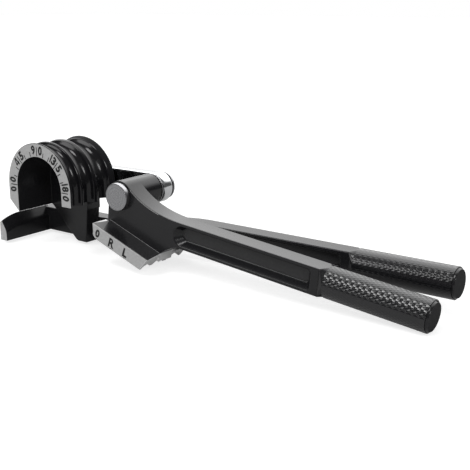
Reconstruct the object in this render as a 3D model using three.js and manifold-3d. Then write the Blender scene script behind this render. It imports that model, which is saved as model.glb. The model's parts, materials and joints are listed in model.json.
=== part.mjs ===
// A lever tube bender for three tube sizes: a grooved former with its own handle, a forming handle
// with a straight grooved shoe, and a flat link that carries the forming handle round the former.
// Lengths are in millimetres and angles in degrees. X runs along the handles, Y along the former's
// axis from the scale to the back, and Z is up. The former's axis crosses the scale's face at zero.
import * as THREE from "three";
import { ConvexGeometry } from "three/addons/geometries/ConvexGeometry.js";
import { mergeVertices } from "three/addons/utils/BufferGeometryUtils.js";
import Module from "manifold-3d";

// Tubes, from the front groove to the back one
const smallTube = 6;
const middleTube = 8;
const largeTube = 10;

// Former: an arch with grooves round its outside and a web across its back
const formerRadius = 23.5;
const grooveSink = 0.3;
const hollowRadius = 16.6;
const scaleRidge = 1.2;
const smallRidge = 1.5;
const middleRidge = 2.2;
const rearRidge = 3.5;
const rearRidgeRound = 0.9;
const webDepth = 9.5;
const exitLegDrop = 7.1;
const holdLegDrop = 14.3;
const holdLegBevelDrop = 8;

// Lug under the web, which joins the former to its arm
const footDrop = 32.6;
const lugRight = 10.8;
const lugFootRight = 8.6;
const lugFootLeft = 1.7;
const lugShoulderDrop = 12;
const lugToeRound = 1.6;

// Hold-down bar, which keeps the tube's free end beside the former
const barThickness = 4.9;
const barTubeClearance = 0.3;
const barHeight = 13.6;
const barNoseDrop = 2.9;
const barBevelHeight = 5.4;
const barBevelSoft = 1.6;
const barLand = 1.6;
const barNoseLength = 12;

// Former handle: arm behind the former, neck, shank and grip
const armDrop = 19.5;
const armFront = 30.8;
const armThickness = 8.6;
const armEnd = 12;
const neckEnd = 78;
const shankThickness = 9.6;
const shankHeight = 12.3;
const formerShankDrop = 19.75;
const gripAxisDepth = 38.8;
const formerGripStart = 164.6;
const formerHandleReach = 212;
const gripDiameter = 14.4;
const gripBlend = 2.4;
const gripEndChamfer = 1;
const edgeRound = 0.6;
const castRound = 1.2;

// Panels sunk into both sides of both shanks
const panelDepth = 3.5;
const panelEdge = 1.5;
const panelWallRun = 2.2;
const panelScoop = 3.6;
const panelEndGap = 4;
const panelCorner = 1.2;

// Link between the two pivots
const linkLength = 48.36;
const linkWidth = 15.8;
const linkThickness = 7;
const linkEdge = 1.3;
const linkAngle = 1;

// Forming handle, in its own frame: the pivot at zero and the shank along X
const handleAngle = -6.2;
const bossRadius = 7.7;
const bossFront = 9.3;
const bossChamfer = 1;
const formingThickness = 10.2;
const formingAxisDrop = 10.1;
const formingShankHeight = 12.8;
const formingShankStart = 38;
const formingGripStart = 117.2;
const formingPanelStart = 34.8;
const formingHandleReach = 165.5;
const headFall = 38;
const heelStart = 31;
const heelRise = 6;

// Shoe under the forming handle, along its own tilted line
const shoeTilt = 14;
const shoeDistance = 22.9;
const shoeThickness = 6.9;
const shoeCrest = 8.3;
const shoeHeel = 5.2;
const shoeReach = 29.6;
const shoeReachTop = 32.3;
const shoeCornerRound = 3;
const shoeWidth = 30.4;
const shoeLandLeft = 5;
const shoeLandFront = 0.8;

// Pins, washers and retaining rings
const pinDiameter = 8;
const pinHeadDiameter = 13.9;
const pinHeadThickness = 2.9;
const pinHeadChamfer = 0.8;
const pinEndChamfer = 0.6;
const pinEndBeyondRing = 1.4;
const pinClearance = 0.2;
const seatGap = 0.2;
const thrustWasherThickness = 0.6;
const thrustWasherDiameter = 15;
const springWasherThickness = 0.4;
const springWasherWave = 0.25;
const springWasherDiameter = 13.5;
const backWasherThickness = 0.8;
const backWasherDiameter = 14;
const ringThickness = 0.9;
const ringWidth = 1.5;
const ringGrooveDepth = 0.6;
const ringEarRadius = 1.3;
const ringEarHole = 0.55;

// One overrun serves every cut, and points closer than the weld are one point
const overrun = 2;
const weld = 0.0005;

// Counts and shares
const formerSteps = 72;
const roundSteps = 48;
const earSteps = 16;
const grooveSteps = 12;
const cornerSteps = 5;
const waves = 3;
const waveSteps = 36;
const ringOpeningAngle = 50;

const tubes = [smallTube, middleTube, largeTube];
const ridges = [scaleRidge, smallRidge, middleRidge, rearRidge];
const total = (sizes) => sizes.reduce((sum, size) => sum + size, 0);
const formerDepth = total(tubes) + total(ridges);
const webFront = formerDepth - webDepth;
const bendRadius = formerRadius - grooveSink;
const barInner = -(bendRadius + largeTube / 2 + barTubeClearance);
const barOuter = barInner - barThickness;
const linkFront = formerDepth + thrustWasherThickness + 2 * seatGap;
const linkBack = linkFront + linkThickness;
const wasm = await Module();
wasm.setup();

// Distance of each groove's middle from the scale's face
function grooveMiddles() {
  let depth = 0;
  return tubes.map((tube, i) => {
    depth += ridges[i] + tube;
    return depth - tube / 2;
  });
}

// A geometry as a solid, with its points welded and its faces turned outwards
function solid(geometry) {
  const loose = geometry.index ? geometry.toNonIndexed() : geometry;
  const bare = new THREE.BufferGeometry();
  bare.setAttribute("position", loose.getAttribute("position"));
  const merged = mergeVertices(bare, weld);
  const points = merged.getAttribute("position");
  const index = merged.index.array;
  const triangles = [];
  const corner = [new THREE.Vector3(), new THREE.Vector3(), new THREE.Vector3()];
  let volume = 0;
  for (let i = 0; i < index.length; i += 3) {
    const [a, b, c] = index.slice(i, i + 3);
    if (a === b || b === c || c === a) continue;
    triangles.push([a, b, c]);
    [a, b, c].forEach((point, j) => corner[j].fromBufferAttribute(points, point));
    volume += corner[0].dot(corner[1].cross(corner[2]));
  }
  const facing = volume < 0 ? triangles.map(([a, b, c]) => [a, c, b]) : triangles;
  return new wasm.Manifold(
    new wasm.Mesh({
      numProp: 3,
      vertProperties: new Float32Array(points.array),
      triVerts: new Uint32Array(facing.flat()),
    }),
  );
}

// An outline in X and Z, given its depth from front to back, with rounded front and back edges
function slab(outline, front, back, round) {
  const geometry = new THREE.ExtrudeGeometry(outline, {
    depth: back - front - 2 * round,
    bevelEnabled: round > 0,
    bevelThickness: round,
    bevelSize: round,
    bevelOffset: -round,
    bevelSegments: 2,
    curveSegments: roundSteps / 4,
  });
  geometry.rotateX(Math.PI / 2).translate(0, back - round, 0);
  return solid(geometry);
}

// A straight-sided outline through a list of X and Z pairs
function outlineOf(points) {
  return new THREE.Shape(points.map(([x, z]) => new THREE.Vector2(x, z)));
}

// A block between two corners
function block(low, high) {
  const size = high.map((value, i) => value - low[i]);
  const geometry = new THREE.BoxGeometry(...size);
  geometry.translate(...low.map((value, i) => value + size[i] / 2));
  return solid(geometry);
}

// A solid turned about the Y axis from pairs of radius and depth
function turned(profile, steps = roundSteps) {
  const points = profile.map(([radius, depth]) => new THREE.Vector2(radius, depth));
  return solid(new THREE.LatheGeometry(points, steps));
}

// A washer or disc between two depths, moved to a pivot later
function washer(inner, outer, front, back) {
  const profile = [
    [inner, front],
    [outer, front],
    [outer, back],
    [inner, back],
    [inner, front],
  ];
  return turned(profile);
}

// A solid rod along Y
function rod(radius, front, back, steps = roundSteps) {
  const profile = [
    [0, front],
    [radius, front],
    [radius, back],
    [0, back],
  ];
  return turned(profile, steps);
}

// Joins rings of equally many points into a skin, closed by a cap on each end or by meeting itself
function loft(rings, endless = false) {
  const count = rings[0].length;
  const places = [];
  const face = (a, b, c) => places.push(...a, ...b, ...c);
  const last = endless ? rings.length : rings.length - 1;
  for (let i = 0; i < last; i += 1) {
    const near = rings[i];
    const far = rings[(i + 1) % rings.length];
    for (let j = 0; j < count; j += 1) {
      const next = (j + 1) % count;
      face(near[j], near[next], far[next]);
      face(near[j], far[next], far[j]);
    }
  }
  const cap = (ring, turn) => {
    for (let j = 1; j < count - 1; j += 1) {
      if (turn) face(ring[0], ring[j + 1], ring[j]);
      else face(ring[0], ring[j], ring[j + 1]);
    }
  };
  if (!endless) {
    cap(rings[0], true);
    cap(rings[rings.length - 1], false);
  }
  const geometry = new THREE.BufferGeometry();
  geometry.setAttribute("position", new THREE.Float32BufferAttribute(places, 3));
  return solid(geometry);
}

// Corner points of a rectangle with rounded corners, as pairs about its middle
function roundedRectangle(width, height, radius) {
  const pairs = [];
  for (let quarter = 0; quarter < 4; quarter += 1) {
    const across = quarter === 0 || quarter === 3 ? 1 : -1;
    const up = quarter < 2 ? 1 : -1;
    for (let step = 0; step <= cornerSteps; step += 1) {
      const angle = ((quarter + step / cornerSteps) * Math.PI) / 2;
      pairs.push([
        across * (width / 2 - radius) + radius * Math.cos(angle),
        up * (height / 2 - radius) + radius * Math.sin(angle),
      ]);
    }
  }
  return pairs;
}

// A ring across a handle at one X: its middle, its thickness along Y and its height along Z
function handleRing(x, middleY, middleZ, thickness, height, radius) {
  return roundedRectangle(thickness, height, radius).map(([y, z]) => [x, middleY + y, middleZ + z]);
}

// Rings of a grip: square shank into round, the round length, and its chamfered end
function gripRings(start, end, middleY, middleZ, thickness, height) {
  const radius = gripDiameter / 2;
  const round = (x, cut) => {
    const size = gripDiameter - 2 * cut;
    return handleRing(x, middleY, middleZ, size, size, radius - cut);
  };
  return [
    handleRing(start - gripBlend, middleY, middleZ, thickness, height, edgeRound),
    round(start, gripEndChamfer / 2),
    round(start + gripEndChamfer / 2, 0),
    round(end - gripEndChamfer, 0),
    round(end, gripEndChamfer),
  ];
}

// A shallow panel with sloping walls, cut into the face of a shank that lies at faceY
function panelCut(start, end, bottom, top, faceY, inward) {
  const ring = (y, inset, scoop) => {
    const left = start + scoop;
    const right = end - inset;
    const low = bottom + inset;
    const high = top - inset / 2;
    const middle = (low + high) / 2;
    const half = (high - low) / 2;
    const nose = Array.from({ length: 2 * cornerSteps + 1 }, (_, step) => {
      const angle = Math.PI / 2 + (step * Math.PI) / (2 * cornerSteps);
      return [left + half + half * Math.cos(angle), y, middle + half * Math.sin(angle)];
    });
    return [
      ...nose,
      [right - panelCorner, y, low],
      [right, y, low + panelCorner],
      [right, y, high - panelCorner],
      [right - panelCorner, y, high],
    ];
  };
  const growth = (panelWallRun * overrun) / panelDepth;
  const outside = ring(faceY - inward * overrun, -growth, -(panelScoop * overrun) / panelDepth);
  return loft([outside, ring(faceY + inward * panelDepth, panelWallRun, panelScoop)]);
}

// Former: the grooved outside as pairs of radius and depth, from the scale's face to the back
function groovedEdge() {
  const pairs = [[formerRadius - grooveSink, 0]];
  let depth = 0;
  tubes.forEach((tube, i) => {
    const ridgeEnd = depth + ridges[i];
    pairs.push([formerRadius, depth + grooveSink], [formerRadius, ridgeEnd - grooveSink]);
    for (let step = 0; step <= grooveSteps; step += 1) {
      const angle = (step / grooveSteps - 1 / 2) * Math.PI;
      const middle = ridgeEnd + tube / 2;
      const across = bendRadius - (tube / 2) * Math.cos(angle);
      pairs.push([across, middle + (tube / 2) * Math.sin(angle)]);
    }
    depth = ridgeEnd + tube;
  });
  pairs.push([formerRadius, depth + grooveSink]);
  for (let step = 0; step <= 3; step += 1) {
    const angle = (step / 3) * (Math.PI / 2);
    pairs.push([
      formerRadius - rearRidgeRound + rearRidgeRound * Math.cos(angle),
      formerDepth - rearRidgeRound + rearRidgeRound * Math.sin(angle),
    ]);
  }
  return pairs;
}

// The arch above the axis and the two straight legs below it, still without its hollow
function formerBlank() {
  const edge = groovedEdge();
  const wheel = turned([[0, 0], ...edge, [0, formerDepth]], formerSteps);
  const wide = formerRadius + overrun;
  const upper = block([-wide, -overrun, 0], [wide, formerDepth + overrun, wide]);
  const across = edge.map(([radius, depth]) => new THREE.Vector2(radius, depth));
  const back = edge.map(([radius, depth]) => new THREE.Vector2(-radius, depth)).reverse();
  const legs = new THREE.ExtrudeGeometry(new THREE.Shape([...across, ...back]), {
    depth: holdLegDrop,
    bevelEnabled: false,
  });
  legs.translate(0, 0, -holdLegDrop);
  return wheel.intersect(upper).add(solid(legs));
}

// The hollow behind the scale, open at the front and below
function formerHollow() {
  const outline = new THREE.Shape();
  outline.moveTo(-hollowRadius, -holdLegDrop - overrun);
  outline.lineTo(hollowRadius, -holdLegDrop - overrun);
  outline.lineTo(hollowRadius, 0);
  outline.absarc(0, 0, hollowRadius, 0, Math.PI, false);
  return slab(outline, -overrun, webFront, 0);
}

// What is cut away under the two legs: a flat end on one and a bevelled end on the other
function legCuts() {
  const wide = formerRadius + overrun;
  const low = -holdLegDrop - overrun;
  const flat = block([lugRight, -overrun, low], [wide, formerDepth + overrun, -exitLegDrop]);
  const fall = (holdLegDrop - holdLegBevelDrop) / (formerRadius - hollowRadius);
  const bevel = outlineOf([
    [-wide, -holdLegBevelDrop + overrun * fall],
    [-wide, low],
    [-hollowRadius + overrun / fall, low],
  ]);
  return flat.add(slab(bevel, -overrun, formerDepth + overrun, 0));
}

// The lug, from the web down to the foot, with a straight slanting side towards the bar
function lug() {
  const outline = new THREE.Shape();
  outline.moveTo(-hollowRadius, -exitLegDrop);
  outline.lineTo(-hollowRadius, -holdLegDrop);
  outline.lineTo(lugFootLeft - lugToeRound, -footDrop + lugToeRound);
  outline.quadraticCurveTo(lugFootLeft, -footDrop, lugFootLeft + lugToeRound, -footDrop);
  outline.lineTo(lugFootRight, -footDrop);
  outline.lineTo(lugRight, -lugShoulderDrop);
  outline.quadraticCurveTo(lugRight, -exitLegDrop, hollowRadius, -exitLegDrop);
  outline.lineTo(hollowRadius, 0);
  outline.lineTo(-hollowRadius, 0);
  return slab(outline, webFront, formerDepth, edgeRound);
}

// The hold-down bar: one section, lower at its nose, from the scale's plane back into the arm
function holdDownBar() {
  const run = barThickness - barLand;
  const soft = barBevelSoft / Math.hypot(run, barBevelHeight);
  const section = (y, sink) => {
    const top = -footDrop + barHeight - sink;
    const bend = top - barBevelHeight;
    return [
      [barOuter, y, -footDrop],
      [barInner, y, -footDrop],
      [barInner, y, bend - barBevelSoft],
      [barInner - (soft * run) / 4, y, bend - (barBevelSoft - soft * barBevelHeight) / 4],
      [barInner - soft * run, y, bend + soft * barBevelHeight],
      [barOuter + barLand, y, top],
      [barOuter, y, top - barLand / 2],
    ];
  };
  const stops = 6;
  const rings = [];
  for (let step = 0; step <= stops; step += 1) {
    const share = step / stops;
    rings.push(section(share * barNoseLength, barNoseDrop * (1 - share) ** 2));
  }
  rings.push(section(armFront + overrun, 0));
  return loft(rings);
}

// Arm, neck, shank and grip of the former handle, as one skin along X
function formerHandleBody() {
  const armMiddle = armFront + armThickness / 2;
  const armHeight = footDrop - armDrop;
  const steps = 10;
  const ringAt = (x, share) => {
    const blend = share * share * (3 - 2 * share);
    const mix = (from, to) => from + (to - from) * blend;
    return handleRing(
      x,
      mix(armMiddle, gripAxisDepth),
      -mix(armDrop + armHeight / 2, formerShankDrop),
      mix(armThickness, shankThickness),
      mix(armHeight, shankHeight),
      edgeRound,
    );
  };
  const rings = [ringAt(barOuter, 0)];
  for (let step = 0; step <= steps; step += 1) {
    const share = step / steps;
    rings.push(ringAt(armEnd + share * (neckEnd - armEnd), share));
  }
  rings.push(
    ...gripRings(
      formerGripStart,
      formerHandleReach,
      gripAxisDepth,
      -formerShankDrop,
      shankThickness,
      shankHeight,
    ),
  );
  return loft(rings);
}

// Both sunk panels of a shank whose middle lies at middleY and middleZ
function panelCuts(start, end, middleY, middleZ, thickness, height) {
  const bottom = middleZ - height / 2 + panelEdge;
  const top = middleZ + height / 2 - panelEdge;
  const front = panelCut(start, end, bottom, top, middleY - thickness / 2, 1);
  const back = panelCut(start, end, bottom, top, middleY + thickness / 2, -1);
  return front.add(back);
}

function formerHandle() {
  const pinHole = rod(pinDiameter / 2 + pinClearance, webFront - overrun, formerDepth + overrun);
  return formerBlank()
    .subtract(formerHollow())
    .subtract(legCuts())
    .add(lug())
    .add(holdDownBar())
    .add(formerHandleBody())
    .subtract(pinHole)
    .subtract(
      panelCuts(
        neckEnd,
        formerGripStart - gripBlend - panelEndGap,
        gripAxisDepth,
        -formerShankDrop,
        shankThickness,
        shankHeight,
      ),
    );
}

// Forming handle, in its own frame with the pivot at zero. A place on the shoe is given by its
// distance along the shoe from the pivot's foot, and by its height above the grooved face.
const shoeAngle = THREE.MathUtils.degToRad(-shoeTilt);
const onShoe = (along, height) => [
  along * Math.cos(shoeAngle) + (shoeDistance - height) * Math.sin(shoeAngle),
  along * Math.sin(shoeAngle) - (shoeDistance - height) * Math.cos(shoeAngle),
];

// The head and shank as one outline: round boss, falling top edge, shank and heel
function formingPlate() {
  const top = -formingAxisDrop + formingShankHeight / 2;
  const bottom = top - formingShankHeight;
  const fall = THREE.MathUtils.degToRad(headFall);
  const leave = [bossRadius * Math.sin(fall), bossRadius * Math.cos(fall)];
  const meet = leave[0] + (leave[1] - top) / Math.tan(fall);
  const [heelX, heelZ] = onShoe(shoeReachTop, shoeCrest);
  const [toeX, toeZ] = onShoe(0, shoeThickness / 2);
  const outline = new THREE.Shape();
  outline.moveTo(...leave);
  outline.quadraticCurveTo(meet, top, formingShankStart, top);
  outline.lineTo(formingGripStart - gripBlend, top);
  outline.lineTo(formingGripStart - gripBlend, bottom);
  outline.lineTo(formingShankStart, bottom);
  outline.quadraticCurveTo(heelStart + heelRise / 2, bottom, heelX, heelZ);
  outline.lineTo(...onShoe(shoeReachTop, shoeThickness / 2));
  outline.lineTo(toeX, toeZ);
  outline.lineTo(-bossRadius, -shoeDistance + shoeCrest);
  outline.lineTo(-bossRadius, 0);
  outline.absarc(0, 0, bossRadius, Math.PI, Math.PI / 2 - fall, true);
  return slab(outline, bossFront, bossFront + formingThickness, edgeRound);
}

// The straight shoe across the whole width of the former
function shoeBlock() {
  const outline = new THREE.Shape();
  outline.moveTo(...onShoe(-shoeHeel, shoeThickness));
  outline.lineTo(...onShoe(-shoeHeel + shoeCornerRound / 2, shoeCornerRound));
  outline.quadraticCurveTo(
    ...onShoe(-shoeHeel + shoeCornerRound / 2, 0),
    ...onShoe(-shoeHeel + 2 * shoeCornerRound, 0),
  );
  outline.lineTo(...onShoe(shoeReach, 0));
  outline.lineTo(...onShoe(shoeReachTop, shoeThickness));
  return slab(outline, 0, shoeWidth, grooveSink);
}

// The ledge that rises from the shoe's front edge to the head, leaving a flat patch at its end
function shoeLedge() {
  const low = shoeThickness / 2;
  const back = bossFront + formingThickness / 2;
  const places = [
    [shoeLandLeft, shoeThickness, shoeLandFront],
    [shoeReachTop, shoeThickness, shoeLandFront],
    [shoeReachTop, shoeCrest, bossFront],
    [-shoeHeel / 2, shoeCrest, bossFront],
    [shoeReachTop, shoeCrest, back],
    [-shoeHeel / 2, shoeCrest, back],
    [shoeLandLeft, low, shoeLandFront],
    [shoeReachTop - overrun, low, shoeLandFront],
    [shoeReachTop - overrun, low, back],
    [-shoeHeel / 2, low, back],
  ];
  const points = places.map(([along, height, y]) => {
    const [x, z] = onShoe(along, height);
    return new THREE.Vector3(x, y, z);
  });
  return solid(new ConvexGeometry(points));
}

// Three half-round channels along the shoe's grooved face
function shoeGrooves() {
  const length = shoeHeel + shoeReachTop + 2 * overrun;
  const middles = grooveMiddles();
  return tubes
    .map((tube, i) => {
      const geometry = new THREE.CylinderGeometry(tube / 2, tube / 2, length, 4 * grooveSteps);
      geometry.rotateZ(Math.PI / 2).translate((shoeReachTop - shoeHeel) / 2, 0, 0);
      geometry.rotateY(-shoeAngle);
      const [x, z] = onShoe(0, 0);
      return solid(geometry.translate(x, middles[i], z));
    })
    .reduce((all, one) => all.add(one));
}

function formingHandleBody() {
  const middleY = bossFront + formingThickness / 2;
  const grip = loft(
    gripRings(
      formingGripStart,
      formingHandleReach,
      middleY,
      -formingAxisDrop,
      formingThickness,
      formingShankHeight,
    ),
  );
  const boss = turned([
    [0, bossFront],
    [bossRadius, bossFront],
    [bossRadius, formerDepth - bossChamfer],
    [bossRadius - bossChamfer, formerDepth],
    [0, formerDepth],
  ]);
  const pinHole = rod(pinDiameter / 2 + pinClearance, bossFront - overrun, formerDepth + overrun);
  return formingPlate()
    .add(grip)
    .add(boss)
    .add(shoeBlock())
    .add(shoeLedge())
    .subtract(shoeGrooves())
    .subtract(pinHole)
    .subtract(
      panelCuts(
        formingPanelStart,
        formingGripStart - gripBlend - panelEndGap,
        middleY,
        -formingAxisDrop,
        formingThickness,
        formingShankHeight,
      ),
    );
}

// The link: a flat bar with round ends, along X from the former's axis
function link() {
  const half = linkWidth / 2;
  const outline = new THREE.Shape();
  outline.moveTo(0, -half);
  outline.lineTo(linkLength, -half);
  outline.absarc(linkLength, 0, half, -Math.PI / 2, Math.PI / 2, false);
  outline.lineTo(0, half);
  outline.absarc(0, 0, half, Math.PI / 2, (3 * Math.PI) / 2, false);
  const bore = rod(pinDiameter / 2 + pinClearance, linkFront - overrun, linkBack + overrun);
  return slab(outline, linkFront, linkBack, linkEdge)
    .subtract(bore)
    .subtract(bore.translate([linkLength, 0, 0]));
}

// What sits behind the link on each pin, from front to back
const springFront = linkBack + seatGap;
const springSpan = springWasherThickness + 2 * springWasherWave;
const backWasherFront = springFront + springSpan + seatGap;
const ringFront = backWasherFront + backWasherThickness + seatGap;
const pinEnd = ringFront + ringThickness + pinEndBeyondRing;
const ringGrooveRadius = pinDiameter / 2 - ringGrooveDepth;

// A pin whose head's back face lies at seatDepth
function pin(seatDepth) {
  const head = pinHeadDiameter / 2;
  const radius = pinDiameter / 2;
  const front = seatDepth - pinHeadThickness;
  const side = seatGap / 2;
  return turned([
    [0, front],
    [head - pinHeadChamfer, front],
    [head - pinHeadChamfer / 4, front + pinHeadChamfer / 4],
    [head, front + pinHeadChamfer],
    [head, seatDepth],
    [radius, seatDepth],
    [radius, ringFront - side],
    [ringGrooveRadius, ringFront - side],
    [ringGrooveRadius, ringFront + ringThickness + side],
    [radius, ringFront + ringThickness + side],
    [radius, pinEnd - pinEndChamfer],
    [radius - pinEndChamfer, pinEnd],
    [0, pinEnd],
  ]);
}

// A thin washer whose face rises and falls round its turn
function springWasher() {
  const inner = pinDiameter / 2 + pinClearance;
  const outer = springWasherDiameter / 2;
  const rings = [];
  for (let step = 0; step < waveSteps; step += 1) {
    const angle = (step / waveSteps) * 2 * Math.PI;
    const front = springFront + springWasherWave * (1 + Math.cos(waves * angle));
    const at = (radius, y) => [radius * Math.cos(angle), y, radius * Math.sin(angle)];
    rings.push([
      at(inner, front),
      at(outer, front),
      at(outer, front + springWasherThickness),
      at(inner, front + springWasherThickness),
    ]);
  }
  return loft(rings, true);
}

// An open retaining ring with two drilled ears beside its opening
function retainingRing() {
  const inner = ringGrooveRadius + seatGap;
  const outer = inner + ringWidth;
  const half = THREE.MathUtils.degToRad(ringOpeningAngle / 2);
  const outline = new THREE.Shape();
  outline.absarc(0, 0, outer, half, -half, false);
  outline.absarc(0, 0, inner, -half, half, true);
  const back = ringFront + ringThickness;
  const reach = outer - ringWidth / 2;
  let made = slab(outline, ringFront, back, 0);
  for (const side of [-1, 1]) {
    const ear = (radius, front, end) =>
      rod(radius, front, end, earSteps).translate([
        reach * Math.cos(half),
        0,
        side * reach * Math.sin(half),
      ]);
    made = made.add(ear(ringEarRadius, ringFront, back));
    made = made.subtract(ear(ringEarHole, ringFront - overrun, back + overrun));
  }
  const bore = rod(inner, ringFront - overrun, back + overrun);
  return made.subtract(bore);
}

// Finishes
const painted = { color: 0x1c1c1d, roughness: 0.35, metalness: 0.1 };
const plated = { color: 0xc4c5c6, roughness: 0.18, metalness: 1 };
const steel = { color: 0x8d8e90, roughness: 0.3, metalness: 1 };

// A named mesh made from a solid
function piece(name, body, finish) {
  const made = body.getMesh();
  const places = new Float32Array(made.numVert * 3);
  for (let i = 0; i < made.numVert; i += 1) {
    for (let axis = 0; axis < 3; axis += 1) {
      places[3 * i + axis] = made.vertProperties[made.numProp * i + axis];
    }
  }
  const geometry = new THREE.BufferGeometry();
  geometry.setAttribute("position", new THREE.BufferAttribute(places, 3));
  geometry.setIndex(new THREE.BufferAttribute(made.triVerts, 1));
  geometry.computeVertexNormals();
  const mesh = new THREE.Mesh(geometry, new THREE.MeshStandardMaterial(finish));
  mesh.name = name;
  return mesh;
}

// The washers, pin and ring of one pivot, whose pin head rests at seatDepth
function pivotPieces(name, seatDepth) {
  const bore = pinDiameter / 2 + pinClearance;
  const thrustFront = formerDepth + seatGap;
  return [
    piece(name + "_pin", pin(seatDepth), steel),
    piece(
      name + "_thrust_washer",
      washer(bore, thrustWasherDiameter / 2, thrustFront, thrustFront + thrustWasherThickness),
      steel,
    ),
    piece(name + "_spring_washer", springWasher(), steel),
    piece(
      name + "_back_washer",
      washer(
        bore,
        backWasherDiameter / 2,
        backWasherFront,
        backWasherFront + backWasherThickness,
      ),
      steel,
    ),
    piece(name + "_retaining_ring", retainingRing(), steel),
  ];
}

// The link's frame turns about the former's axis, and the forming handle's frame about its far end
const tool = new THREE.Group();
tool.add(piece("former_handle", formerHandle(), painted));
tool.add(...pivotPieces("former", webFront - seatGap));

const linkFrame = new THREE.Group();
linkFrame.rotation.y = THREE.MathUtils.degToRad(-linkAngle);
linkFrame.add(piece("pivot_link", link(), plated));
tool.add(linkFrame);

const formingFrame = new THREE.Group();
formingFrame.position.x = linkLength;
formingFrame.rotation.y = THREE.MathUtils.degToRad(linkAngle - handleAngle);
formingFrame.add(piece("forming_handle", formingHandleBody(), painted));
formingFrame.add(...pivotPieces("forming", bossFront - seatGap));
linkFrame.add(formingFrame);

// The part's origin lies under the middle of its box
const part = new THREE.Group();
part.add(tool);
part.updateMatrixWorld(true);
const box = new THREE.Box3().setFromObject(tool, true);
const middle = box.getCenter(new THREE.Vector3());
tool.position.set(-middle.x, -middle.y, -box.min.z);

export default part;
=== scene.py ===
"""The dressed tube bender: castings with clean faces and engraved marks, knurled grips, plated steel
and a pale studio. Lengths are in millimetres in the tool's own frame, where the former's axis crosses
the face of the scale at zero. The forming handle has a frame of its own, at its pin and along its
shank. The matrices below carry both to the part's frame in metres."""
import json
import math

import bmesh
import bpy
from mathutils import Matrix, Vector


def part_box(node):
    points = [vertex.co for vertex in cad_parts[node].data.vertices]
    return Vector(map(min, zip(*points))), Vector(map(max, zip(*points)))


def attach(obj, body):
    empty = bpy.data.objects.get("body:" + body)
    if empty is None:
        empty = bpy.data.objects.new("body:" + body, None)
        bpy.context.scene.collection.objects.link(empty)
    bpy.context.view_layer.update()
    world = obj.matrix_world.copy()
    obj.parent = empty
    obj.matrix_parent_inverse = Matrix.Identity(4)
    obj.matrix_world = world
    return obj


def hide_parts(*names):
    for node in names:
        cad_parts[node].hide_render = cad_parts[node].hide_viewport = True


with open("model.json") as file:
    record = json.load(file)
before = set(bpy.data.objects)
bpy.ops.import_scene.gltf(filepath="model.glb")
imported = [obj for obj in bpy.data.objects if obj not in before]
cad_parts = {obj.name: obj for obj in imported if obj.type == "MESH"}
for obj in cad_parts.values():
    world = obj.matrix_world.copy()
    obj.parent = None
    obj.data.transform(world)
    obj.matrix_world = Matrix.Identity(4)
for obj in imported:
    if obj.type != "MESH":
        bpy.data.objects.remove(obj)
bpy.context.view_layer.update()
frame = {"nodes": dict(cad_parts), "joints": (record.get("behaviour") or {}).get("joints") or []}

# The tool's frame and the forming handle's frame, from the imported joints
MM = 0.001
JOINTS = {joint["name"]: Vector(joint["pos_m"]) for joint in frame["joints"]}
FRONT_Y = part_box("former_handle")[0].y
AXIS = Vector((JOINTS["link_swing"].x, FRONT_Y, JOINTS["link_swing"].z))
PIN = Vector((JOINTS["forming_handle_pivot"].x, FRONT_Y, JOINTS["forming_handle_pivot"].z))
HANDLE_TILT = math.radians(6.2)
TOOL = Matrix.Translation(AXIS) @ Matrix.Scale(MM, 4)
FORMING = Matrix.Translation(PIN) @ Matrix.Rotation(HANDLE_TILT, 4, "Y") @ Matrix.Scale(MM, 4)

# Sizes that the dressing repeats from the solids, and places where its materials change
FORMER_RADIUS = 23.5
FORMER_DEPTH = 32.4
HOLLOW_RADIUS = 16.6
LEG_END = -14
REAR_CREST = 28.5
CREST_REACH = 0.9
SHOE_DISTANCE = 22.9
SHOE_TILT = math.radians(14)
SHOE_THICKNESS = 6.9
LEDGE_START = 5
LEDGE_BACK = 9.3
LEDGE_TOP = 8.3
LAND_FRONT = 0.4
LAND_BACK = 9.4
# Where along the shoe its milled left end stops and its milled right end starts and stops, and how high
MILLED_LEFT = 4.9
MILLED_RIGHT = 31
MILLED_END = 34
MILLED_TOP = 7.2
POCKET_DEPTH = 3.5
GRIP_RADIUS = 7.2
# How far under the grip's surface its smooth core is sunk, and how deep a point already counts as sunk
CORE_SINK = 0.45
SUNK = 0.4

# Each shank's middle, with its pockets from start to end and within a reach of the middle
FORMER_SHANK = {
    "y": 38.8, "z": -19.75, "thickness": 9.6, "pockets": (70, 163), "pocket_reach": 5.4,
    "grip_start": 164.8, "knurl": (165.0, 210.8), "relief": 0.035, "end": 212,
}
FORMING_SHANK = {
    "y": 14.4, "z": -10.1, "thickness": 10.2, "pockets": (30, 116), "pocket_reach": 5.6,
    "grip_start": 117.4, "knurl": (117.6, 164.4), "relief": 0.075, "end": 165.5,
}
HEAD_FRONT = FORMING_SHANK["y"] - FORMING_SHANK["thickness"] / 2
# The part of the head's rounded top front edge that is painted lighter as a highlight, which starts well
# above the shoe
HIGHLIGHT_END = 25
HIGHLIGHT_HEIGHT = 10
HIGHLIGHT_DEPTH = 0.4

# How near a point has to be to an edge, a face or the shoe's top to count as on it
NEAR = 0.03
FACE_TOUCH = 0.05
TOP_TOUCH = 0.02

# Metres that a full bump stands for, and the rounding that only the shading shows
GRAIN_HEIGHT = 0.00002
SOFT_EDGE = 0.0004
SOFT_SAMPLES = 6


def add_node(owner, kind, **values):
    """A shader node of a material or the world, with its input values or its settings"""
    node = owner.node_tree.nodes.new(kind)
    for key, value in values.items():
        if key in node.inputs:
            node.inputs[key].default_value = value
        else:
            setattr(node, key, value)
    return node


def link(owner, start, end):
    owner.node_tree.links.new(start, end)


def new_material(name, color, metallic, roughness):
    material = bpy.data.materials.new(name)
    material.use_nodes = True
    shader = material.node_tree.nodes["Principled BSDF"]
    shader.inputs["Base Color"].default_value = (*color, 1)
    shader.inputs["Metallic"].default_value = metallic
    shader.inputs["Roughness"].default_value = roughness
    return material, shader


def grey(value):
    return (value,) * 3


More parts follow.
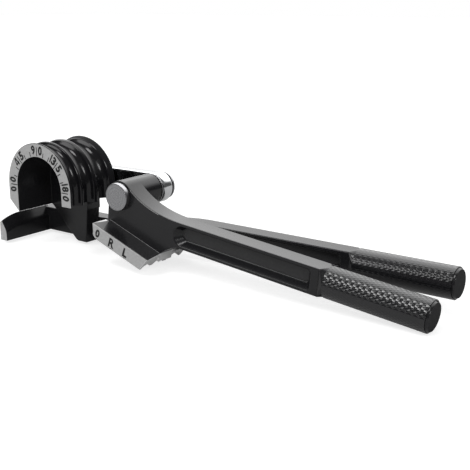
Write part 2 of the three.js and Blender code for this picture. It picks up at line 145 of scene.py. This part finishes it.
def ramp(material, source, low, high):
    """Maps a value from 0..1 on to low..high colours or greys"""
    node = add_node(material, "ShaderNodeValToRGB")
    node.color_ramp.elements[0].color = (*low, 1)
    node.color_ramp.elements[1].color = (*high, 1)
    link(material, source, node.inputs["Fac"])
    return node.outputs["Color"]


def bump(material, shader, source, strength, edge):
    """Lifts the surface by a texture, on edges that the shading rounds by so many metres"""
    lift = add_node(material, "ShaderNodeBump", Strength=strength, Distance=GRAIN_HEIGHT)
    link(material, source, lift.inputs["Height"])
    link(material, lift.outputs["Normal"], shader.inputs["Normal"])
    if edge:
        soft = add_node(material, "ShaderNodeBevel", Radius=edge, samples=SOFT_SAMPLES)
        link(material, soft.outputs["Normal"], lift.inputs["Normal"])


def surface(name, color, metallic, roughness, scale, rough, strength, tints=None, edge=0.0, specular=0.5):
    """A material with noise in object space that varies its roughness and colour and lifts a fine grain"""
    material, shader = new_material(name, color, metallic, roughness)
    shader.inputs["Specular IOR Level"].default_value = specular
    place = add_node(material, "ShaderNodeTexCoord")
    noise = add_node(material, "ShaderNodeTexNoise", Scale=scale, Detail=4.0, Roughness=0.6)
    link(material, place.outputs["Object"], noise.inputs["Vector"])
    low, high = rough
    link(material, ramp(material, noise.outputs["Fac"], grey(low), grey(high)), shader.inputs["Roughness"])
    bump(material, shader, noise.outputs["Fac"], strength, edge)
    if tints:
        link(material, ramp(material, noise.outputs["Fac"], *tints), shader.inputs["Base Color"])
    return material


paint = surface(
    "black_coating", (0.009, 0.009, 0.01), 0, 0.22, 900, (0.17, 0.27), 0.1,
    ((0.007, 0.007, 0.008), (0.012, 0.012, 0.013)), edge=SOFT_EDGE, specular=0.36,
)
# A duller black that mirrors little: matte on the grips' end faces, and painted shade where it stands on
# the rear crest and the pockets' downward walls
dull_black_and_shade = surface(
    "black_end_face_and_painted_shade", (0.008, 0.008, 0.009), 0, 0.5, 1100, (0.45, 0.6), 0.1,
    ((0.006, 0.006, 0.007), (0.01, 0.01, 0.011)), specular=0.08,
)
gloss = surface(
    "black_gloss_grooves", (0.006, 0.006, 0.007), 0, 0.12, 500, (0.1, 0.16), 0.05,
    edge=0.00035, specular=0.32,
)
bare = surface(
    "bare_machined_face", grey(0.42), 0.35, 0.5, 1500, (0.42, 0.62), 0.3, (grey(0.32), grey(0.57)),
)
# The milled bare metal of the shoe's ends and grooves; its grey is lighter than the machined face's, as
# painted bounce light from the floor
milled_bounce_lit = surface(
    "bare_milled_grooves_painted_bounce_light", grey(0.62), 0.35, 0.4, 1300, (0.34, 0.5), 0.2, (grey(0.6), grey(0.78)),
)
land = surface(
    "ground_land", grey(0.15), 0.1, 0.5, 1500, (0.42, 0.58), 0.2, (grey(0.09), grey(0.13)),
)
cast = surface(
    "black_cast_floor", (0.02, 0.02, 0.021), 0, 0.4, 700, (0.32, 0.5), 0.3,
    ((0.016, 0.016, 0.017), (0.036, 0.036, 0.037)), specular=0.36,
)
# A light grey: bare metal on the machined line where the ledge meets the head, and a painted highlight on
# the head's rounded top front edge
edge_line_and_highlight = surface(
    "bare_edge_line_and_painted_highlight", grey(0.2), 0.3, 0.45, 1700, (0.4, 0.55), 0.15, (grey(0.12), grey(0.24)),
)
mark = surface("mark_fill", grey(0.006), 0, 0.6, 1500, (0.5, 0.7), 0.1)
knurl = surface(
    "black_knurl", (0.008, 0.008, 0.009), 0, 0.16, 1200, (0.1, 0.18), 0.04, specular=0.6,
)
chrome = surface("chrome_plate", (0.66, 0.67, 0.68), 1, 0.12, 700, (0.08, 0.16), 0.03)


def turned_steel(name, centre):
    """Steel with the fine rings of a lathe round an axis along Y"""
    material, shader = new_material(name, (0.42, 0.42, 0.43), 1, 0.26)
    place = add_node(material, "ShaderNodeTexCoord")
    shift = add_node(material, "ShaderNodeMapping", Location=(-centre.x, 0, -centre.z))
    link(material, place.outputs["Object"], shift.inputs["Vector"])
    flat = add_node(material, "ShaderNodeMapping", Scale=(1, 0, 1))
    link(material, shift.outputs["Vector"], flat.inputs["Vector"])
    rings = add_node(
        material, "ShaderNodeTexWave", wave_type="RINGS", rings_direction="SPHERICAL",
        Scale=200.0, Distortion=1.6, Detail=3.0,
    )
    rings.inputs["Detail Scale"].default_value = 1.5
    link(material, flat.outputs["Vector"], rings.inputs["Vector"])
    source = rings.outputs["Fac"]
    tone = ramp(material, source, (0.33, 0.33, 0.34), (0.36, 0.36, 0.37))
    link(material, tone, shader.inputs["Base Color"])
    link(material, ramp(material, source, grey(0.26), grey(0.29)), shader.inputs["Roughness"])
    bump(material, shader, source, 0.05, SOFT_EDGE)
    return material


TURNED = {
    "former": turned_steel("turned_former_steel", AXIS),
    "forming": turned_steel("turned_forming_steel", PIN),
}
spring = surface("spring_steel", (0.08, 0.08, 0.085), 1, 0.35, 1200, (0.28, 0.42), 0.08)

# The materials of the two castings, and each one's place in the list
CASTING_MATERIALS = [paint, bare, gloss, dull_black_and_shade, milled_bounce_lit, land, cast, edge_line_and_highlight]
PAINT, BARE, GLOSS, DULL_SHADE, MILLED_BOUNCE_LIT, LAND, CAST, HEAD_HIGHLIGHT = range(len(CASTING_MATERIALS))
FORMER_MATERIALS = CASTING_MATERIALS[:MILLED_BOUNCE_LIT]


def add_object(name, mesh, body):
    piece = bpy.data.objects.new(name, mesh)
    bpy.context.scene.collection.objects.link(piece)
    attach(piece, body)
    return piece


def mesh_from(bm, name):
    """A mesh made from a bmesh, which is freed"""
    mesh = bpy.data.meshes.new(name)
    bm.to_mesh(mesh)
    bm.free()
    return mesh


def sharpen(mesh, angle=34):
    """Smooth shading, with edges sharper than the angle kept sharp"""
    bm = bmesh.new()
    bm.from_mesh(mesh)
    limit = math.radians(angle)
    for face in bm.faces:
        face.smooth = True
    for edge in bm.edges:
        edge.smooth = len(edge.link_faces) == 2 and edge.calc_face_angle(0) < limit
    bm.to_mesh(mesh)
    bm.free()


def settle(piece):
    """Applies a piece's modifiers to its mesh"""
    bpy.context.view_layer.update()
    graph = bpy.context.evaluated_depsgraph_get()
    made = bpy.data.meshes.new_from_object(piece.evaluated_get(graph))
    piece.modifiers.clear()
    piece.data = made


def slim_grip(bm, shank):
    """Sinks the smooth grip under its knurled skin"""
    for vertex in bm.verts:
        if vertex.co.x > shank["grip_start"]:
            away = Vector((0, vertex.co.y - shank["y"], vertex.co.z - shank["z"]))
            if away.length > GRIP_RADIUS - SUNK:
                away = away.normalized() * (GRIP_RADIUS - CORE_SINK)
            vertex.co = Vector((vertex.co.x, shank["y"] + away.y, shank["z"] + away.z))


def dress(node, name, body, matrix, materials, choose, shape=None, shank=None, cutter=None):
    """A clean copy of a CAD node, shaped and with a material for each face chosen in the matrix's frame"""
    mesh = frame["nodes"][node].data.copy()
    mesh.name = name
    bm = bmesh.new()
    bm.from_mesh(mesh)
    bm.transform(matrix.inverted())
    bmesh.ops.remove_doubles(bm, verts=bm.verts, dist=0.002)
    bmesh.ops.dissolve_limit(bm, angle_limit=math.radians(0.4), verts=bm.verts, edges=bm.edges)
    bm.normal_update()
    if shape:
        shape(bm)
    for face in bm.faces:
        face.material_index = choose(face.calc_center_median(), face.normal)
    if shank:
        slim_grip(bm, shank)
    mesh.materials.clear()
    for material in materials:
        mesh.materials.append(material)
    bm.to_mesh(mesh)
    bm.free()
    piece = add_object(name, mesh, body)
    if cutter:
        cut = piece.modifiers.new("marks", "BOOLEAN")
        cut.operation = "DIFFERENCE"
        cut.solver = "MANIFOLD"
        cut.material_mode = "TRANSFER"
        cut.object = cutter
        settle(piece)
        bpy.data.objects.remove(cutter)
    sharpen(piece.data)
    weigh = piece.modifiers.new("weighted_normals", "WEIGHTED_NORMAL")
    weigh.keep_sharp = True
    settle(piece)
    piece.data.transform(matrix)
    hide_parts(node)


# The marks are cut by flat solids in X and Z, which reach as far in front of the face as behind it
MARK_DEPTH = 0.22
DIGIT_HEIGHT = 4.8
DIGIT_WIDTH = 2.8
DIGIT_RADIUS = 20.0
ONE_WIDTH_SHARE = 0.3
TICK_WIDTH = 0.52
LONG_TICK = 4.6
LONG_TICK_OUT = 2.6
SHORT_TICK = 2.4
SHORT_TICK_OUT = 1.5
SCALE = {0: "00", 45: "45", 90: "90", 135: "135", 180: "180"}
TWO_DIGIT_STEPS = (-7.4, 7.4)
THREE_DIGIT_STEPS = (-13.0, -6.4, 7.4)
SHORT_TICKS = (15, 29.5, 59, 73.5, 104.5, 117.4, 150, 163.4)

# Each letter of the shoe, with its place along the shoe, its height and width and its middle's height
SHOE_MARKS = (("0", -0.5, 4.3, 2.9, 3.5), ("R", 9.4, 4.8, 3.8, 3.4), ("L", 18.8, 4.6, 2.9, 3.3))
SHOE_TICK = 0.6
SHOE_TICK_MIDDLE = 0.5

# How far a character's strokes are thickened, as far as its outline stays simple
BOLD = {"9": 0.04, "R": 0.035}
PLAIN_BOLD = 0.05
FOUR = (
    (
        (-1.4, -1.4), (0.35, -1.4), (0.35, -2.4), (1.15, -2.4), (1.15, -1.4), (1.45, -1.4),
        (1.45, -0.6), (1.15, -0.6), (1.15, 2.4), (0.2, 2.4), (-1.4, -0.5),
    ),
    ((0.35, -0.6), (0.35, 1.2), (-0.65, -0.6)),
)


def four_bmesh():
    """The 4, whose strokes the font can't thicken cleanly"""
    bm = bmesh.new()
    for loop in FOUR:
        corners = [bm.verts.new((x, -MARK_DEPTH, z)) for x, z in loop]
        for i, corner in enumerate(corners):
            bm.edges.new((corner, corners[(i + 1) % len(corners)]))
    filled = bmesh.ops.triangle_fill(bm, edges=bm.edges[:], use_beauty=True)
    faces = [part for part in filled["geom"] if isinstance(part, bmesh.types.BMFace)]
    made = bmesh.ops.extrude_face_region(bm, geom=faces)
    for part in made["geom"]:
        if isinstance(part, bmesh.types.BMVert):
            part.co.y = MARK_DEPTH
    bmesh.ops.recalc_face_normals(bm, faces=bm.faces)
    return bm


def glyph_bmesh(text, height, width):
    """A character, centred, of a given height and width"""
    if text == "4":
        return four_bmesh()
    curve = bpy.data.curves.new("glyph", "FONT")
    curve.body = text
    curve.resolution_u = 3
    curve.extrude = 1.0
    curve.offset = BOLD.get(text, PLAIN_BOLD)
    holder = bpy.data.objects.new("glyph", curve)
    bpy.context.scene.collection.objects.link(holder)
    bpy.context.view_layer.update()
    graph = bpy.context.evaluated_depsgraph_get()
    mesh = bpy.data.meshes.new_from_object(holder.evaluated_get(graph))
    bpy.data.objects.remove(holder)
    bm = bmesh.new()
    bm.from_mesh(mesh)
    bmesh.ops.remove_doubles(bm, verts=bm.verts, dist=1e-5)
    low = Vector(min(v.co[i] for v in bm.verts) for i in range(3))
    high = Vector(max(v.co[i] for v in bm.verts) for i in range(3))
    middle = (low + high) / 2
    size = high - low
    wide = width * ONE_WIDTH_SHARE if text == "1" else width
    for vertex in bm.verts:
        flat = vertex.co - middle
        vertex.co = Vector((
            flat.x / size.x * wide,
            -flat.z / size.z * 2 * MARK_DEPTH,
            flat.y / size.y * height,
        ))
    if bm.calc_volume(signed=True) < 0:
        bmesh.ops.reverse_faces(bm, faces=bm.faces[:])
    return bm


def bar_bmesh(width, height):
    bm = bmesh.new()
    bmesh.ops.create_cube(bm, size=1)
    for vertex in bm.verts:
        x, y, z = vertex.co
        vertex.co = Vector((x * width, y * 2 * MARK_DEPTH, z * height))
    return bm


def cutter_object(name, parts):
    """One object from flat solids, each placed by its own matrix in the casting's frame"""
    whole = bmesh.new()
    for bm, place in parts:
        bm.transform(place)
        spare = mesh_from(bm, "spare")
        whole.from_mesh(spare)
        bpy.data.meshes.remove(spare)
    bmesh.ops.recalc_face_normals(whole, faces=whole.faces)
    mesh = mesh_from(whole, name)
    mesh.materials.append(mark)
    holder = bpy.data.objects.new(name, mesh)
    bpy.context.scene.collection.objects.link(holder)
    holder.hide_render = True
    return holder


def on_ring(degrees, radius):
    """A place on the scale, at its degrees from the left end and its radius, standing outwards"""
    turn = Matrix.Rotation(math.radians(90) - math.radians(180 - degrees), 4, "Y")
    return turn @ Matrix.Translation((0, 0, radius))


def on_shoe(along, height):
    """A place on the shoe's front face, by its distance along the shoe and above its crest"""
    tilt = Matrix.Rotation(SHOE_TILT, 4, "Y")
    return tilt @ Matrix.Translation((along, 0, height - SHOE_DISTANCE))


def along_shoe(point):
    """A point's distance along the shoe and its height above the shoe's crest"""
    c, s = math.cos(SHOE_TILT), math.sin(SHOE_TILT)
    return point.x * c - point.z * s, SHOE_DISTANCE + point.x * s + point.z * c


def scale_marks():
    parts = []
    for degrees, text in SCALE.items():
        parts.append((bar_bmesh(TICK_WIDTH, LONG_TICK), on_ring(degrees, HOLLOW_RADIUS + LONG_TICK_OUT)))
        steps = TWO_DIGIT_STEPS if len(text) == 2 else THREE_DIGIT_STEPS
        for letter, step in zip(text, steps):
            digit = glyph_bmesh(letter, DIGIT_HEIGHT, DIGIT_WIDTH)
            parts.append((digit, on_ring(degrees + step, DIGIT_RADIUS)))
    for degrees in SHORT_TICKS:
        parts.append((bar_bmesh(TICK_WIDTH, SHORT_TICK), on_ring(degrees, HOLLOW_RADIUS + SHORT_TICK_OUT)))
    return cutter_object("scale_marks", parts)


def shoe_marks():
    parts = []
    for letter, along, tall, wide, middle in SHOE_MARKS:
        parts.append((glyph_bmesh(letter, tall, wide), on_shoe(along, middle)))
        parts.append((bar_bmesh(TICK_WIDTH, SHOE_TICK), on_shoe(along, SHOE_TICK_MIDDLE)))
    return cutter_object("shoe_marks", parts)


# Crest edges of the ridges, by their depth, with how much is rounded off
FORMER_CRESTS = ((0.9, 0.3), (8.4, 0.6), (18.6, 0.9), (32.1, 0.5))
SHOE_CRESTS = ((7.2, 0.7), (8.7, 0.7), (16.7, 1.0), (18.9, 1.0), (28.9, 0.5))
# Front sides of the former's crests that lean into their groove, by depth from and to, with their sink
LEANS = ((7.1, 7.6, 0.25), (16.6, 17.1, 0.5), (28.8, 29.3, 1.1))
LEAN_REACH = 0.45
# Depths of the shoe's crests, and the height up to which they are levelled by half, with their lift
SHOE_CREST_BANDS = ((6.4, 9.6), (15.5, 20.1), (28, 31))
CREST_BAND_TOP = 0.8
CREST_LIFT = 0.4
# The foot of the ledge's left end, by its depth, with its shift towards the shoe's end
LEDGE_FOOT_DEPTH = 1.2
LEDGE_SHIFT = 3.2
# The angles between two faces that count as a pocket's corner, in radians
POCKET_ANGLES = (0.4, 1.9)
RIM_ROUND = 0.42
FLOOR_ROUND = 0.6
HEAD_EDGE_ROUND = 0.35
ROUND_STEPS = 3
SHOE_ALONG = Vector((math.cos(SHOE_TILT), 0, -math.sin(SHOE_TILT)))
SHOE_UP = Vector((math.sin(SHOE_TILT), 0, math.cos(SHOE_TILT)))


def round_off(bm, edges, offset):
    bmesh.ops.bevel(
        bm, geom=edges, offset=offset, segments=ROUND_STEPS, profile=0.5, affect="EDGES",
        clamp_overlap=True,
    )


def edges_with(bm, wanted):
    """The edges whose two ends are both wanted"""
    return [edge for edge in bm.edges if all(wanted(vertex.co) for vertex in edge.verts)]


def from_axis(point):
    """The distance from the former's axis, or from its middle plane along its legs"""
    return math.hypot(point.x, max(point.z, 0))


def tidy_mesh(bm):
    bmesh.ops.dissolve_degenerate(bm, dist=0.001, edges=bm.edges)
    bm.normal_update()


def round_rims(bm, shank, half, offset):
    """Rounds the corners of the pockets in a shank's two sides, at half a thickness from its middle"""
    start, end = shank["pockets"]
    sides = (shank["y"] - half, shank["y"] + half)

    def on_rim(point):
        inside = start < point.x < end and abs(point.z - shank["z"]) < shank["pocket_reach"]
        return inside and min(abs(point.y - side) for side in sides) < 2 * NEAR

    edges = edges_with(bm, on_rim)
    low, high = POCKET_ANGLES
    corners = [edge for edge in edges if len(edge.link_faces) == 2 and low < edge.calc_face_angle(0) < high]
    round_off(bm, corners, offset)


def round_pockets(bm, shank):
    half = shank["thickness"] / 2
    round_rims(bm, shank, half, RIM_ROUND)
    round_rims(bm, shank, half - POCKET_DEPTH, FLOOR_ROUND)


def shape_former(bm):
    """Rounds the ridges between the grooves, which the solid leaves flat on top, and the pockets"""
    for vertex in bm.verts:
        x, y, z = vertex.co
        radius = from_axis(vertex.co)
        for start, end, sink in LEANS:
            if start < y < end and FORMER_RADIUS - LEAN_REACH < radius < FORMER_RADIUS + NEAR:
                share = 1 - sink / radius
                vertex.co = Vector((x * share, y, z * share if z > 0 else z))
    for depth, offset in FORMER_CRESTS:
        crest = edges_with(
            bm, lambda point: abs(point.y - depth) < NEAR and abs(from_axis(point) - FORMER_RADIUS) < NEAR,
        )
        round_off(bm, crest, offset)
    round_pockets(bm, FORMER_SHANK)
    tidy_mesh(bm)


def shape_forming(bm):
    """Rounds the shoe's ridges, the head's top front edge and the pockets, and parts off the shoe's land"""
    for vertex in bm.verts:
        along, height = along_shoe(vertex.co)
        at_foot = abs(along - LEDGE_START) < 0.3 and abs(height - SHOE_THICKNESS) < FACE_TOUCH
        if at_foot and vertex.co.y < LEDGE_FOOT_DEPTH:
            vertex.co -= SHOE_ALONG * LEDGE_SHIFT
    for depth, offset in SHOE_CRESTS:
        crest = edges_with(
            bm, lambda point: abs(point.y - depth) < NEAR and abs(along_shoe(point)[1]) < FACE_TOUCH,
        )
        round_off(bm, crest, offset)
    for vertex in bm.verts:
        height = along_shoe(vertex.co)[1]
        in_band = any(low < vertex.co.y < high for low, high in SHOE_CREST_BANDS)
        if in_band and -FACE_TOUCH < height < CREST_BAND_TOP:
            vertex.co += SHOE_UP * (CREST_LIFT - height / 2)
    top = []
    for edge in edges_with(bm, lambda point: abs(point.y - HEAD_FRONT) < NEAR):
        if len(edge.link_faces) == 2:
            face, side = sorted(edge.link_faces, key=lambda face: face.normal.y)
            if face.normal.y < -0.99 and abs(side.normal.y) < 0.3 and side.normal.z > 0.25:
                top.append(edge)
    round_off(bm, top, HEAD_EDGE_ROUND)
    round_pockets(bm, FORMING_SHANK)
    tidy_mesh(bm)
    faces = [
        face for face in bm.faces
        if all(abs(along_shoe(vertex.co)[1] - SHOE_THICKNESS) < TOP_TOUCH for vertex in face.verts)
    ]
    whole = faces + list({e for f in faces for e in f.edges}) + list({v for f in faces for v in f.verts})
    bmesh.ops.bisect_plane(bm, geom=whole, plane_co=(0, LAND_BACK, 0), plane_no=(0, 1, 0))
    bm.normal_update()


def in_pocket(point, shank):
    """Whether a face's middle lies in one of the pockets of a shank's two sides"""
    start, end = shank["pockets"]
    inset = shank["thickness"] / 2 - abs(point.y - shank["y"])
    inside = start < point.x < end and abs(point.z - shank["z"]) < shank["pocket_reach"]
    return inside and FACE_TOUCH < inset < POCKET_DEPTH + 0.1


def former_face(point, normal):
    if point.y < FACE_TOUCH and normal.y < -0.9:
        return BARE
    if point.x > FORMER_SHANK["end"] - 1 and normal.x > 0.9:
        return DULL_SHADE
    out = from_axis(point)
    # The rear crest takes the dull black, whose weak reflection paints shade on it
    on_crest = FORMER_RADIUS - CREST_REACH < out < FORMER_RADIUS + 0.1
    if on_crest and REAR_CREST < point.y < FORMER_DEPTH + 0.1 and -0.75 < normal.y < 0.9:
        return DULL_SHADE
    near_grooves = abs(point.x) < FORMER_RADIUS + 1 and point.z > LEG_END and point.y < FORMER_DEPTH - 1
    beside_hollow = abs(point.x) > HOLLOW_RADIUS + 0.5 or point.z > HOLLOW_RADIUS - 4
    if near_grooves and beside_hollow and out > HOLLOW_RADIUS + 1 and abs(normal.y) < 0.99:
        return GLOSS
    return PAINT


def forming_face(point, normal):
    along, height = along_shoe(point)
    if point.y < FACE_TOUCH and normal.y < -0.9:
        return BARE
    if point.x > FORMING_SHANK["end"] - 1 and normal.x > 0.9:
        return DULL_SHADE
    # The head's rounded top front edge takes the light grey as a painted highlight
    on_head_edge = HEAD_FRONT < point.y < HEAD_FRONT + HIGHLIGHT_DEPTH and height > HIGHLIGHT_HEIGHT
    if on_head_edge and point.x < HIGHLIGHT_END and -0.98 < normal.y < -0.5 and normal.z > 0.2:
        return HEAD_HIGHLIGHT
    if in_pocket(point, FORMING_SHANK):
        if abs(normal.y) > 0.99:
            return CAST
        # The pockets' downward walls take the dull black as painted shade
        return DULL_SHADE if normal.z < -0.5 else PAINT
    if point.y < LAND_FRONT and SHOE_THICKNESS - 0.3 < height < SHOE_THICKNESS + TOP_TOUCH:
        return BARE
    c, s = math.cos(SHOE_TILT), math.sin(SHOE_TILT)
    onward = normal.x * c - normal.z * s
    up = normal.x * s + normal.z * c
    # The shoe's milled ends and grooves take the lighter grey, which paints the floor's bounce light on
    # them
    if along < MILLED_END:
        if height < MILLED_TOP and (up < -0.05 or along > MILLED_RIGHT or along < MILLED_LEFT):
            return MILLED_BOUNCE_LIT
        if along > MILLED_RIGHT and height < LEDGE_TOP + 0.1 and onward > 0.5:
            return MILLED_BOUNCE_LIT
    if abs(height - SHOE_THICKNESS) < TOP_TOUCH and up > 0.9 and point.y < LAND_BACK:
        return LAND
    return PAINT


dress(
    "former_handle", "former_casting", "former", TOOL, FORMER_MATERIALS, former_face,
    shape=shape_former, shank=FORMER_SHANK, cutter=scale_marks(),
)
dress(
    "forming_handle", "forming_casting", "forming", FORMING, CASTING_MATERIALS, forming_face,
    shape=shape_forming, shank=FORMING_SHANK, cutter=shoe_marks(),
)

# The thin machined edge where the ledge meets the head, as a three-sided strip
STRIP = 0.14
STRIP_SINK = 0.06
STRIP_ENDS = (-2.4, 32.2)
STRIP_SECTION = (
    (LEDGE_BACK + STRIP, LEDGE_TOP - STRIP),
    (LEDGE_BACK - STRIP, LEDGE_TOP - STRIP_SINK),
    (LEDGE_BACK - STRIP_SINK, LEDGE_TOP + STRIP),
)


def head_edge():
    bm = bmesh.new()
    rings = [
        [bm.verts.new(FORMING @ on_shoe(along, height) @ Vector((0, y, 0))) for y, height in STRIP_SECTION]
        for along in STRIP_ENDS
    ]
    near, far = rings
    for i in range(3):
        after = (i + 1) % 3
        bm.faces.new([near[i], near[after], far[after], far[i]])
    for ring in rings:
        bm.faces.new(ring)
    bmesh.ops.recalc_face_normals(bm, faces=bm.faces)
    mesh = mesh_from(bm, "head_edge")
    mesh.materials.append(edge_line_and_highlight)
    add_object("head_edge", mesh, "forming")


head_edge()

# The knurl: rows of raised diamonds, each with a small flat top
KNURL_AROUND = 30
KNURL_PITCH = 2.7
KNURL_TOP_SHARE = 0.16
KNURL_INSET = 0.02


def knurled_grip(name, body, matrix, shank):
    start, end = shank["knurl"]
    rows = int(round((end - start) / KNURL_PITCH))
    pitch = (end - start) / rows
    high = GRIP_RADIUS - KNURL_INSET
    low = high - shank["relief"]
    bm = bmesh.new()

    def at(row, column, radius):
        angle = 2 * math.pi * column / KNURL_AROUND
        y = shank["y"] + radius * math.cos(angle)
        z = shank["z"] + radius * math.sin(angle)
        return bm.verts.new(matrix @ Vector((start + row * pitch, y, z)))

    def clipped(row):
        return min(max(row, 0), rows)

    grid = {}

    def corner(row, column):
        key = (row, round(column * 2) % (2 * KNURL_AROUND))
        if key not in grid:
            grid[key] = at(row, column, low)
        return grid[key]

    def inward(value, middle):
        return middle + (value - middle) * KNURL_TOP_SHARE

    for half in range(2 * rows + 1):
        row = half / 2
        for index in range(KNURL_AROUND):
            column = index + (half % 2) / 2
            # A diamond centred here reaches half a pitch along and half a column to each side
            points = [(row - 0.5, column), (row, column + 0.5), (row + 0.5, column), (row, column - 0.5)]
            ring = [corner(clipped(r), c) for r, c in points]
            tops = [at(clipped(inward(r, row)), inward(c, column), high) for r, c in points]
            for i in range(4):
                after = (i + 1) % 4
                quad = [ring[i], ring[after], tops[after], tops[i]]
                if len(set(quad)) == 4:
                    bm.faces.new(quad)
            bm.faces.new(tops)
    bmesh.ops.remove_doubles(bm, verts=bm.verts, dist=1e-6)
    rims = [edge for edge in bm.edges if len(edge.link_faces) == 1]
    bmesh.ops.holes_fill(bm, edges=rims, sides=0)
    bmesh.ops.recalc_face_normals(bm, faces=bm.faces)
    mesh = mesh_from(bm, name)
    mesh.materials.append(knurl)
    add_object(name, mesh, body)


knurled_grip("former_grip_knurl", "former", TOOL, FORMER_SHANK)
knurled_grip("forming_grip_knurl", "forming", FORMING, FORMING_SHANK)


def dress_plain(node, body, material):
    """Steel pieces keep the shape of their solids"""
    dress(node, node + "_dressed", body, TOOL, [material], lambda point, normal: 0)


dress_plain("pivot_link", "link", chrome)
for body in ("former", "forming"):
    dress_plain(body + "_pin", body, TURNED[body])
    dress_plain(body + "_thrust_washer", body, TURNED[body])
    dress_plain(body + "_spring_washer", body, spring)
    dress_plain(body + "_back_washer", body, TURNED[body])
    dress_plain(body + "_retaining_ring", body, spring)

# The floor's own glow makes it white to the camera, and adds a little of it to what metal mirrors
FLOOR_REACH = 6.0
CAMERA_GLOW = 0.72
MIRROR_GLOW = 0.1
WHITE = (1, 1, 1, 1)
floor_mesh = bpy.data.meshes.new("floor")
floor_corners = [(x * FLOOR_REACH, y * FLOOR_REACH, 0) for x, y in ((-1, -1), (1, -1), (1, 1), (-1, 1))]
floor_mesh.from_pydata(floor_corners, [], [(0, 1, 2, 3)])
floor = bpy.data.objects.new("floor", floor_mesh)
bpy.context.scene.collection.objects.link(floor)
pale, pale_shader = new_material("pale_floor", grey(0.42), 0, 0.9)
path = add_node(pale, "ShaderNodeLightPath")
glow = add_node(pale, "ShaderNodeEmission", Color=WHITE)
for_camera = add_node(pale, "ShaderNodeMath", operation="MULTIPLY")
for_camera.inputs[1].default_value = CAMERA_GLOW
for_mirrors = add_node(pale, "ShaderNodeMath", operation="MULTIPLY_ADD")
for_mirrors.inputs[1].default_value = MIRROR_GLOW
both = add_node(pale, "ShaderNodeAddShader")
link(pale, path.outputs["Is Camera Ray"], for_camera.inputs[0])
link(pale, path.outputs["Is Glossy Ray"], for_mirrors.inputs[0])
link(pale, for_camera.outputs["Value"], for_mirrors.inputs[2])
link(pale, for_mirrors.outputs["Value"], glow.inputs["Strength"])
link(pale, pale_shader.outputs["BSDF"], both.inputs[0])
link(pale, glow.outputs["Emission"], both.inputs[1])
link(pale, both.outputs["Shader"], pale.node_tree.nodes["Material Output"].inputs["Surface"])
floor_mesh.materials.append(pale)

# Polished metal shows a bright sweep behind and above the tool and a darker room in front of it. An edge
# has the cosines of the angles from its direction between which it fades, and the brightness outside
# and inside it.
SKY_LIGHT = 0.65
SWEEP_TOWARDS = Vector((-0.3, 0.72, 0.626))
SWEEP_EDGE = (0.5, 0.8, 0.1, 1.15)
OVERHEAD_EDGE = (0.3, 0.42, 1.0, 2.4)
world = bpy.data.worlds.new("studio")
bpy.context.scene.world = world
world.use_nodes = True


def smooth_step(source, start, end, low, high):
    """Goes smoothly from low to high while the source goes from start to end"""
    node = add_node(world, "ShaderNodeMapRange", interpolation_type="SMOOTHSTEP")
    for key, value in (("From Min", start), ("From Max", end), ("To Min", low), ("To Max", high)):
        node.inputs[key].default_value = value
    link(world, source, node.inputs["Value"])
    return node.outputs["Result"]


def chosen(factor, first, second):
    """Mixes two shaders by a ray's kind"""
    node = add_node(world, "ShaderNodeMixShader")
    link(world, factor, node.inputs["Fac"])
    link(world, first, node.inputs[1])
    link(world, second, node.inputs[2])
    return node.outputs["Shader"]


lit = add_node(world, "ShaderNodeBackground", Color=WHITE, Strength=SKY_LIGHT)
seen = add_node(world, "ShaderNodeBackground", Color=WHITE, Strength=1.0)
room = add_node(world, "ShaderNodeBackground", Color=WHITE)
direction = add_node(world, "ShaderNodeTexCoord").outputs["Generated"]
facing = add_node(world, "ShaderNodeVectorMath", operation="DOT_PRODUCT")
facing.inputs[1].default_value = SWEEP_TOWARDS
link(world, direction, facing.inputs[0])
axes = add_node(world, "ShaderNodeSeparateXYZ")
link(world, direction, axes.inputs["Vector"])
brightness = add_node(world, "ShaderNodeMath", operation="MULTIPLY")
link(world, smooth_step(facing.outputs["Value"], *SWEEP_EDGE), brightness.inputs[0])
link(world, smooth_step(axes.outputs["Z"], *OVERHEAD_EDGE), brightness.inputs[1])
link(world, brightness.outputs["Value"], room.inputs["Strength"])
rays = add_node(world, "ShaderNodeLightPath")
mirrored = chosen(rays.outputs["Is Glossy Ray"], lit.outputs["Background"], room.outputs["Background"])
shown = chosen(rays.outputs["Is Camera Ray"], mirrored, seen.outputs["Background"])
link(world, shown, world.node_tree.nodes["World Output"].inputs["Surface"])

# Each lamp's name, the way it shines, its strength and its spread in degrees
LAMPS = (
    ("right_softbox", (-0.65, 0.5, -0.55), 0.75, 18),
    ("front_softbox", (0.12, 0.45, -0.88), 0.9, 20),
    ("left_softbox", (0.56, 0.66, -0.5), 0.55, 26),
)
for name, towards, strength, spread in LAMPS:
    lamp = bpy.data.lights.new(name, "SUN")
    lamp.energy = strength
    lamp.angle = math.radians(spread)
    holder = bpy.data.objects.new(name, lamp)
    holder.rotation_euler = Vector(towards).to_track_quat("-Z", "Y").to_euler()
    bpy.context.scene.collection.objects.link(holder)

# The camera as fitted to the photograph
EYE = Vector((333.6, -284.8, 92.8))
LOOK_DOWN = 15.38
LOOK_LEFT = 36.22
FOCAL_PIXELS = 848.6
PICTURE = 470
SENSOR = 36.0
camera_data = bpy.data.cameras.new("camera")
camera_data.sensor_width = SENSOR
camera_data.lens = FOCAL_PIXELS / PICTURE * SENSOR
camera_data.clip_start = 0.01
camera = bpy.data.objects.new("camera", camera_data)
camera.location = TOOL @ EYE
camera.rotation_euler = (math.radians(90 - LOOK_DOWN), 0, math.radians(LOOK_LEFT))
bpy.context.scene.collection.objects.link(camera)
bpy.context.scene.camera = camera

bpy.context.scene.view_settings.view_transform = "Standard"
